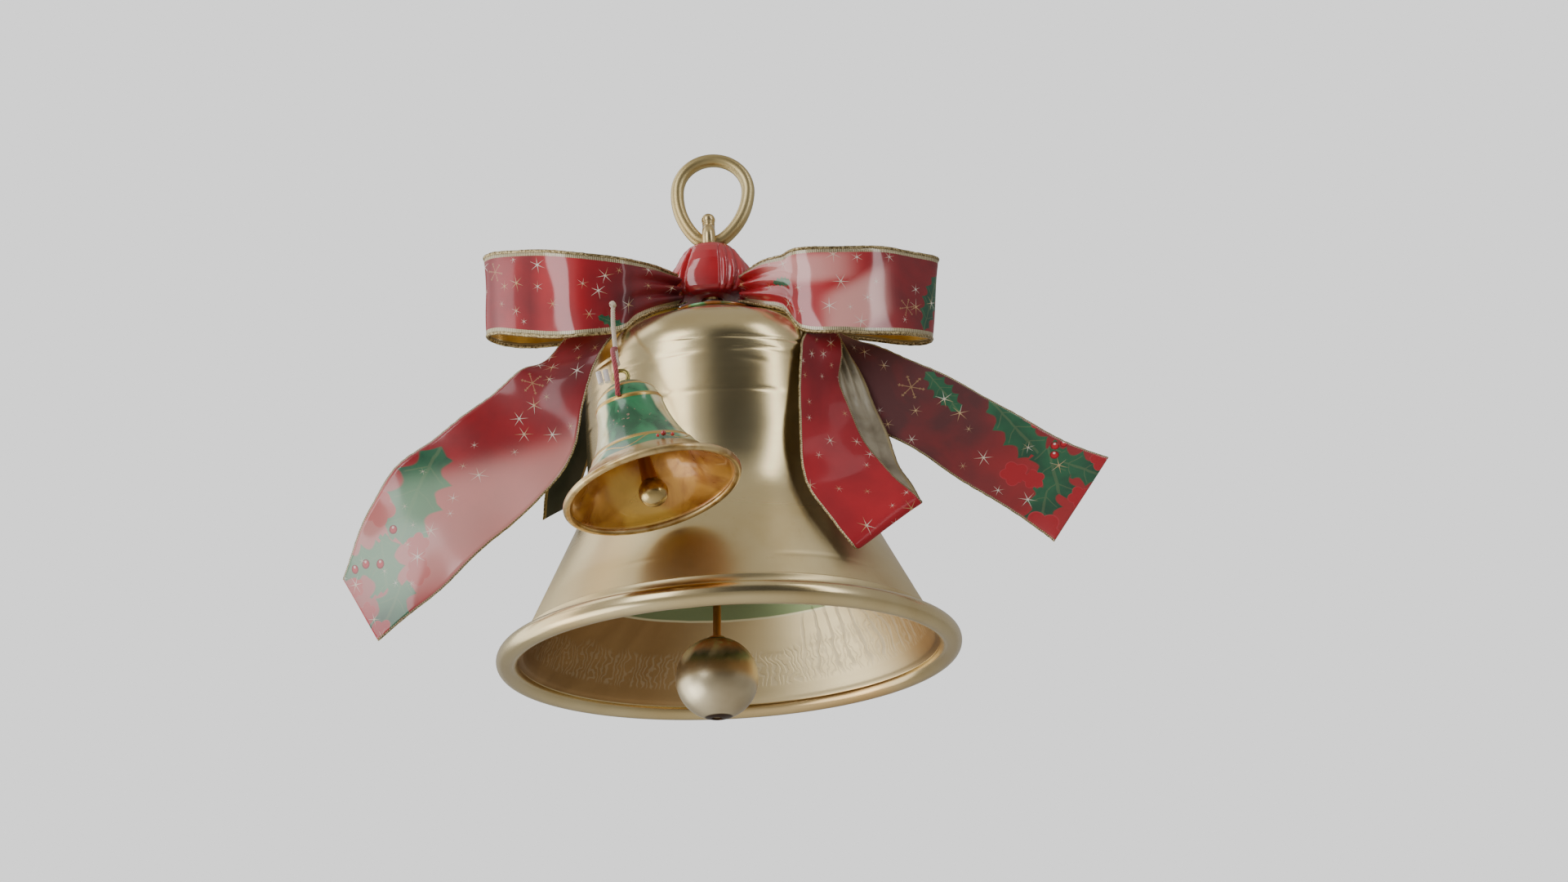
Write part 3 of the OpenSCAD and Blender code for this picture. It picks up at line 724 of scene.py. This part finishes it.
droop_route = [
    (.0085, -.0062, .0988, .001, .0005, .0024), (.0155, -.0122, .0946, .0015, .0003, .002),
    (.0225, -.0195, .0884, .002, .001, .0014), (.0285, -.0235, .08, .0038, .0015, .0003),
    (.0285, -.0265, .0735, .0053, .0024, -.0004), (.0275, -.0285, .063, .0052, .0034, 0),
    (.029, -.0305, .049, .0076, .0038, .0006), (.0325, -.033, .0355, .01, .0042, .003),
    (.038, -.0365, .0265, .0094, .004, .0055), (.0405, -.038, .0224, .0084, .004, .007),
    (.042, -.0365, .021, .0084, .004, .007), (.0425, -.0335, .024, .0076, .004, .0064),
    (.0425, -.0285, .034, .0055, .0035, .0025), (.0405, -.024, .046, .0046, .0035, 0),
    (.0375, -.021, .0575, .0048, .003, 0), (.0345, -.0195, .07, .0038, .0022, 0),
    (.031, -.0195, .08, .0022, .001, .0006)]

# Each ribbon's depths are painted shade along it, and its hazes are painted glare.
ribbon("bow_loop_left_cloth", loop_left_route, -1, gold_reverse, "bow_loop_left", (1, 1),
       {"leaf": [(.0255, -.008, 0.4, .004), (.095, .004, 0.3, .009)],
        "flake": [(.061, .006, 0.2, .003)]},
       [(0, .75), (.02, .65), (.031, .5), (.035, .1), (.044, .1), (.048, .5), (.054, .35), (.06, .35),
        (.063, .6), (.2, .6)],
       seed=3, stars=44, edge_band=1.5 * MM)
ribbon("bow_loop_right_cloth", loop_right_route, 1, gold_reverse, "bow_loop_right", (1, 1),
       {"leaf": [(.0195, .0004, 0.2, .0042), (.066, -.002, 1.2, .009)],
        "flake": [(.0565, -.0045, 0.2, .0028)]}, [(0, .3), (.03, .05), (.045, .2), (.055, .6), (.2, .6)],
       seed=5, stars=44, edge_band=1.5 * MM,
       painted_glares=((.0415, -.0045, .009, .0075, .5, .8), (.026, .0058, .015, .0042, .1, .65)))
ribbon("tail_left_cloth", tail_left_route, -1, green_reverse, "tail_left", (1, 0),
       {"leaf": [(.0985, .0064, -0.38, .0185), (.1165, .0008, -0.9, .0135), (.121, -.0068, -0.35, .0125),
                 (.1185, .0066, 0.5, .0105)],
        "blossom": [(.1062, -.0022, 0, .0034), (.1105, -.0066, 0.4, .0036), (.1062, .0128, 0.4, .0052),
                    (.1252, .0048, 2, .0026), (.1268, -.0022, 1, .0028), (.1268, -.0088, 0.5, .0034)],
        "berry": [(.1076, .0059, 0, .0012), (.1189, .0064, 0, .0012), (.1161, .0031, 0, .0012),
                  (.1222, .0081, 0, .0012)],
        "flake": [(.053, .005, 0.3, .0034)]}, [(0, .7), (.045, .6), (.065, .42), (.09, .35), (.2, .4)],
       seed=8, stars=50, edge_band=.35 * MM, painted_glares=((.09, -.0095, .04, .019, .67, .62),))
ribbon("tail_right_cloth", tail_right_route, 1, green_reverse, "tail_right", (1, 0),
       {"leaf": [(.066, .0066, -0.4, .0072), (.0885, .0076, -0.3, .0125), (.102, .0025, -0.8, .0135),
                 (.1055, .0072, 0.15, .011), (.1045, -.0062, -1.2, .0105)],
        "blossom": [(.0938, -.0028, 0, .0038), (.0985, -.0016, 1, .003), (.1112, .0002, 0, .0034),
                    (.1105, .0122, 1, .0034), (.1075, -.0125, 0, .0052), (.0895, .013, 0, .0024)],
        "berry": [(.0976, .0095, 0, .0012), (.0992, .0112, 0, .001), (.099, .0072, 0, .0012)],
        "flake": [(.0585, .0038, 0.3, .0036)]}, [(0, .92), (.07, .85), (.095, .4), (.2, .15)],
       seed=13, stars=26, edge_band=.35 * MM, painted_glares=((.08, 0, .2, .2, 0, .06),))
ribbon("tail_rear_cloth", tail_rear_route, 1, green_reverse, "tail_rear", (1, 0), {},
       [(0, .9), (.2, .9)], seed=21, stars=8, wave=0.3, edge_band=.35 * MM)
ribbon("droop_loop_cloth", droop_route, 1, grey_reverse, "droop_loop", (1, 1), {},
       [(0, .6), (.05, .5), (.075, .1), (.1, 0), (.3, 0)], seed=34, stars=62, wave=0.4,
       edge_band=.4 * MM, front=matte_print)


# Knot: the middle of the bow, a strap of the same ribbon wound twice round the stem and pulled
# tight, so that it stands in upright pleats with a soft lobe at each side. A steel wire ties it.
knot_line = [(3.1, 100.5), (6.6, 100.5), (7.8, 101), (8.35, 102), (8.6, 104), (8.6, 107),
             (8.4, 110), (7.9, 112.6), (7.2, 114.4), (6.6, 115.4), (6.1, 115.7), (5.9, 115.3),
             (6.1, 114.4), (6.6, 112.4), (7.0, 110), (7.2, 107), (7.1, 103), (6.4, 101.6), (3.1, 101.3)]
shape = lathe(spaced(knot_line, 0.35), turns=300)
sheet_layer = shape.loops.layers.uv.new("sheet")
layers = {kind: shape.loops.layers.uv.new(kind) for kind in ("edge", *MOTIFS)}
tone_layer = shape.loops.layers.uv.new("tone")
KNOT_MIDDLE = 108
PLEATS = ((-0.78, 0.012, 0.06, 1.2), (0.36, 0.004, 0.05, 0.7), (0.6, 0.01, 0.045, 0.6),
          (0.86, 0.014, 0.06, 1.1), (1.2, 0.03, 0.08, 0.6), (-1.25, -0.03, 0.1, 0.6),
          (2.2, 0, 0.1, 0.7), (-2.3, 0, 0.1, 0.7), (2.9, 0, 0.07, 0.6))
seam_of = {}
for vertex in shape.verts:
    angle = math.atan2(vertex.co.x, -vertex.co.y)
    height = vertex.co.z / MM
    seam_of[vertex] = (angle, height)
    lift = 1 - ((height - KNOT_MIDDLE) / 9) ** 2
    if math.hypot(vertex.co.x, vertex.co.y) > 7.05 * MM and lift > 0:
        pleat = sum(depth * math.exp(-((angle - place - tilt * (height - KNOT_MIDDLE)) / wide) ** 2)
                    for place, tilt, wide, depth in PLEATS)
        fine = 0.05 * math.cos(angle * 23 + 0.25 * height) * (abs(angle) > 0.9)
        lobe = 3.6 * abs(math.sin(angle)) ** 2 * math.exp(-((height - 105.5) / 6.5) ** 2)
        grow = 1 + (lobe - (pleat + fine) * lift) / 8.6
        vertex.co.x *= grow
        vertex.co.y *= grow
for face in shape.faces:
    turned = max(seam_of[v][0] for v in face.verts) > 2.5
    for loop in face.loops:
        angle, height = seam_of[loop.vert]
        angle += 2 * math.pi if turned and angle < 0 else 0
        loop[sheet_layer].uv = (height * MM, angle * 8 * MM)
        # Painted shade: the knot's print is painted darker towards its foot and on its right side.
        depth = 0.05 + 0.02 * max(0, KNOT_MIDDLE - height) + 0.1 * max(0, math.sin(angle))
        loop[tone_layer].uv = (depth, 0)
        for layer in layers.values():
            loop[layer].uv = FAR_OFF[:2]
knot = piece("bow_knot_cloth", mesh_of(shape, "knot", AT_BELL), [red_print], "bell",
             ["bow_knot"])


def dressed(node, material):
    """Shows a small fitting in the shape that it has in the frame, with a finish of its own."""
    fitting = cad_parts[node]
    fitting.data.materials.clear()
    fitting.data.materials.append(material)


steel, shader, at = finish("soft_steel", Metallic=1.0)
drawn = at.stretched(1, 1, 6).noise(900, 3)
vary(shader, Base_Color=drawn.rise(0.3, 0.7).tint(colour("7f8286"), colour("b9bcbf")),
     Roughness=0.25 + 0.25 * drawn, Normal=drawn.bump(0.03 * MM))
dressed("bow_tie_wire", steel)

# Clapper: a turned ball on a bronze rod, hung from a staple by a link. The ball is satin gold
# below and lacquered amber round its top, the amber painted almost white as a painted glow, and
# its drilled foot is painted dark as a painted shade of the hole.
clapper_turn = Matrix.Rotation(math.radians(2.6), 4, "Y")
ROD_PIVOT_H = 74.05
on_clapper = (AT_BELL @ Matrix.Translation((0, 0, ROD_PIVOT_H * MM)) @ clapper_turn
              @ Matrix.Translation((0, 0, -ROD_PIVOT_H * MM)))
BALL_H, BALL_R = -5.7, 10.7
ball_line = [(0, BALL_H + 6), (1.2, BALL_H + 6), (1.2, BALL_H + 10.2)]
ball_line += arc(1.75, BALL_H + 10.55, 0.5, 180, 20, 6) + arc(0, BALL_H, BALL_R, 77, -81.5, 80)
ball_line += arc(1.5, BALL_H - 10.25, 0.25, -60, -180, 4) + [(1.25, BALL_H - 2.4), (0, BALL_H - 2)]
ball_gold, shader, at = finish("ball_gold")
h = at.part("Z") - (AXIS.z + BALL_H * MM)
flow = at.stretched(1, 1, 0.6).noise(130, 3, 1.2)
lines = at.stretched(14, 14, 800).noise(1.0, 3)
# Lacquered amber round the top, painted almost white as a painted glow.
warm = (h + (flow - 0.5) * 6 * MM).rise(3.0 * MM, 7.5 * MM)
tone = at.noise(60, 3).rise(0.3, 0.7).tint(colour("b9a888"), colour("dccfae"))
amber_and_glow = flow.rise(0.4, 0.6).tint(colour("ffac68"), colour("ffe0a0"))
tone = warm.tint(tone, amber_and_glow)
tone = (0.5 - abs(h - 9.8 * MM) / (0.9 * MM)).rise(0, 0.5).tint(tone, colour("8a4a24"))
# Painted shade: the foot round the drilled hole is painted dark.
tone = (-9.9 * MM - h).rise(0, 0.2 * MM).tint(tone, colour("3a2414"))
vary(shader, Base_Color=tone, Metallic=1 - 0.95 * warm, Roughness=0.24 + 0.14 * flow + 0.06 * lines,
     Normal=(lines * 0.3 + flow * 0.5).bump(0.03 * MM))
piece("clapper_ball_turned", mesh_of(lathe(ball_line, turns=128, closed=False), "ball", on_clapper),
      [ball_gold], "clapper", ["clapper_ball"])
bronze = satin_gold("aged_bronze", colour("dcae7c"), colour("b07c4c"), colour("97a683"), 0.3, 200)
for node in ("clapper_rod", "clapper_link", "clapper_staple", "crown_nut"):
    dressed(node, bronze)
dressed("inner_washer", steel)

# Small bell: thin brass, enamelled green and cream between raised gold bands, with a cream gold
# flare, an amber lacquered inside and three raised berries. It hangs from a wire loop at its crown.
MINI_BANDS = (9.9, 23.1, 26.3)
MINI_LIP_C = 20.6
MINI_LIP_R = 0.9
MINI_WALL = 0.8
mini_outer = [(0.7, MINI_H)] + arc(1, 22.3, 7.2, 80, 8, 16) + arc(38.6, 26, 30.6, 187, 233, 40)
mini_outer = spaced(mini_outer + [(20.1, 2.2)], 0.3)
mini_inner = arc(38.6, 26, 31.4, 231, 187, 24) + arc(1, 22.3, 6.4, 8, 80, 12) + [(0.7, MINI_H - MINI_WALL)]
mini_lip = arc(MINI_LIP_C, MINI_LIP_R, MINI_LIP_R, 120, -200, 24)
shape = lathe(mini_outer + mini_lip + mini_inner, turns=144)
for vertex in shape.verts:
    radius = math.hypot(vertex.co.x, vertex.co.y)
    height = vertex.co.z / MM
    angle = math.atan2(vertex.co.x, -vertex.co.y)
    if radius > 2 * MM:
        raised = sum(0.16 * math.exp(-((height - band - 0.5 * math.sin(2 * angle + band)) / 0.42) ** 2)
                     for band in MINI_BANDS)
        vertex.co.x *= 1 + raised * MM / radius
        vertex.co.y *= 1 + raised * MM / radius
for face in shape.faces:
    centre = face.calc_center_median()
    radial = Vector((centre.x, centre.y, 0)).normalized()
    off_lip = math.hypot(math.hypot(centre.x, centre.y) / MM - MINI_LIP_C, centre.z / MM - MINI_LIP_R)
    face.material_index = int(face.normal.dot(radial) + face.normal.z < 0 and off_lip > MINI_LIP_R + 0.1)

enamel, shader, at = finish("painted_enamel", Coat_Weight=0.7, Coat_Roughness=0.1)
local = at.node("Mapping", {"vector_type": "TEXTURE"},
                {"Vector": at, "Location": mini_mouth, "Rotation": mini_turn.to_euler()})
x, y, z = local.part("X"), local.part("Y"), local.part("Z")
angle = x.maths("ARCTAN2", y * -1.0)
cloud = local.noise(160, 4, 0.6)
wave = (local.noise(110, 2) - 0.5)
green = cloud.rise(0.35, 0.65).tint(colour("0f5530"), colour("2f8a56"))
cream = cloud.rise(0.35, 0.65).tint(colour("e2d692"), colour("fffacc"))
panel = abs(angle + wave * 0.5 - 0.05).rise(0.8, 0.66)
panel = panel.maths("MAXIMUM", abs(abs(angle) - 2.5 + wave * 0.4).rise(0.6, 0.45))
tone = panel.tint(cream, green)
bands = None
for band in MINI_BANDS:
    drift = z - 0.5 * MM * (angle * 2 + band).maths("SINE") - band * MM
    line = (0.62 * MM - abs(drift)).rise(0, 0.2 * MM)
    bands = line if bands is None else bands.maths("MAXIMUM", line)
scroll = abs((angle * 7).maths("SINE") * 1.1 * MM + 7.9 * MM + wave * 1.5 * MM - z)
bands = bands.maths("MAXIMUM", (0.22 * MM - scroll).rise(0, 0.1 * MM) * abs(angle + 0.1).rise(1.3, 1.0))
flare = (6.4 * MM + wave * 1.2 * MM - z).rise(0, 0.5 * MM)
dots = local.noise(900, 1).rise(0.7, 0.76) * z.rise(12 * MM, 14 * MM) * (21 * MM - z).rise(0, 2 * MM)
tone = (dots * 0.6).tint(tone, colour("c58a7a"))
tone = flare.tint(tone, cloud.rise(0.35, 0.65).tint(colour("b08a4c"), colour("dcc28a")))
tone = bands.tint(tone, colour("cfab5e"))
metal = bands.maths("MAXIMUM", flare * 0.9).maths("MAXIMUM", (1 - panel) * 0.12)
vary(shader, Base_Color=tone, Metallic=metal, Roughness=0.22 + 0.12 * cloud + 0.1 * metal,
     Normal=(cloud * 0.1 + bands * 0.8 + dots * 0.6).bump(0.05 * MM))

amber, shader, at = finish("amber_lacquer", Metallic=0.45, Coat_Weight=0.6, Coat_Roughness=0.06)
cloud = at.noise(120, 4, 0.8)
spots = at.noise(75, 1).rise(0.55, 0.7)
tone = cloud.rise(0.35, 0.65).tint(colour("a0601f"), colour("d39a42"))
vary(shader, Base_Color=(spots * 0.8).tint(tone, colour("f2c75a")), Roughness=0.22 + 0.14 * cloud,
     Normal=cloud.bump(0.15 * MM))
piece("painted_bell", mesh_of(shape, "mini_bell", on_mini), [enamel, amber], "mini_bell",
      ["mini_bell_shell"])
berry_red, shader, at = finish("berry_red", Coat_Weight=1.0, Coat_Roughness=0.04)
vary(shader, Base_Color=at.noise(700, 2).rise(0.4, 0.6).tint(colour("a3161d"), colour("d5332f")),
     Roughness=0.3 + 0.1 * at.noise(500, 2))
shape = bmesh.new()
for angle, size, radius, height in ((0.38, 0.62, 15.3, 7.6), (0.5, 0.45, 15.9, 6.9),
                                    (0.27, 0.4, 15.9, 6.9)):
    spot = Vector((radius * math.sin(angle), -radius * math.cos(angle), height)) * MM
    bmesh.ops.create_uvsphere(shape, u_segments=20, v_segments=14, radius=size * MM,
                              matrix=Matrix.Translation(spot))
piece("painted_bell_berries", mesh_of(shape, "berries", on_mini), [berry_red], "mini_bell")
loop_gold = satin_gold("loop_gold", colour("b8a765"), colour("6f7a48"), colour("8a7a3c"), 0.22, 600)
dressed("mini_hanger", loop_gold)
dressed("mini_nut", bronze)
dressed("mini_clapper_stem", bronze)
mini_ball_line = [(0, 3.3)] + arc(0, 0.4, 3.5, 55, -90, 30)
piece("mini_clapper_ball_turned",
      mesh_of(lathe(mini_ball_line, turns=72, closed=False), "mini_ball", on_mini), [bright_gold],
      "mini_clapper", ["mini_clapper_ball"])

# Studio: a plain pale floor well below the hanging bell, four soft boxes round its left side and a
# narrow one at its right, in a room with grey walls and a dark corner in front at the right.
# What the camera sees of the room is one even pale grey.
FLOOR_DROP = 0.9
floor_shape = bmesh.new()
bmesh.ops.create_grid(floor_shape, x_segments=1, y_segments=1, size=6)
floor_finish, shader, at = finish("pale_floor", Roughness=0.8)
vary(shader, Base_Color=at.noise(3, 2).rise(0.2, 0.8).tint(colour("e2e0dc"), colour("e8e6e2")))
floor_mesh = mesh_of(floor_shape, "floor", Matrix.Translation((0, 0, -FLOOR_DROP)))
floor_mesh.materials.append(floor_finish)
floor = bpy.data.objects.new("floor", floor_mesh)
bpy.context.scene.collection.objects.link(floor)

CENTRE = beside_bell(0, 0, 0.06)


def soft_box(name, azimuth, elevation, distance, width, height, watts):
    """A soft box that faces the bell, azimuth counted from the camera's side towards the right."""
    a, e = math.radians(azimuth), math.radians(elevation)
    way = Vector((math.sin(a) * math.cos(e), -math.cos(a) * math.cos(e), math.sin(e)))
    lamp = bpy.data.lights.new(name, "AREA")
    lamp.shape = "RECTANGLE"
    lamp.size = width
    lamp.size_y = height
    lamp.energy = watts
    box = bpy.data.objects.new(name, lamp)
    facing = way.to_track_quat("Z", "Y").to_matrix().to_4x4()
    box.matrix_world = Matrix.Translation(CENTRE + way * distance) @ facing
    bpy.context.scene.collection.objects.link(box)


soft_box("left_front_box", -34, 20, 1.0, 0.36, 0.95, 3.9)
soft_box("left_side_box", -99, -3, 1.0, 0.88, 1.4, 6.6)
soft_box("low_left_box", -72, -33, 0.95, 0.7, 0.5, 2.6)
soft_box("left_high_box", -110, 50, 1.0, 0.8, 0.55, 1.7)
soft_box("right_strip", 52, 28, 1.0, 0.17, 1.0, 2.2)

room = bpy.data.worlds.new("room")
bpy.context.scene.world = room
room.use_nodes = True
tree = room.node_tree
backdrop = tree.nodes["Background"]
start = Reading(tree, tree.nodes.new("ShaderNodeTexCoord").outputs["Generated"])
x, y, z = start.part("X"), start.part("Y"), start.part("Z")
level = (x * x + y * y + 0.0001).maths("SQRT")
left = ((x * -0.985 + y * 0.174) / level).rise(-0.2, 0.9)
dark = ((x * 0.407 - y * 0.914) / level).rise(0.78, 0.95) * (1 - abs(z).rise(0.65, 0.88))
walls = left.tint((0.4, 0.39, 0.38, 1), (0.48, 0.47, 0.45, 1))
walls = dark.tint(walls, (0.07, 0.07, 0.07, 1))
walls = z.rise(0.75, 0.92).tint(walls, (0.52, 0.5, 0.46, 1))
seen = start.node("LightPath", output="Is Camera Ray")
tree.links.new(seen.tint(walls, (1.34, 1.34, 1.34, 1)).socket, backdrop.inputs["Color"])
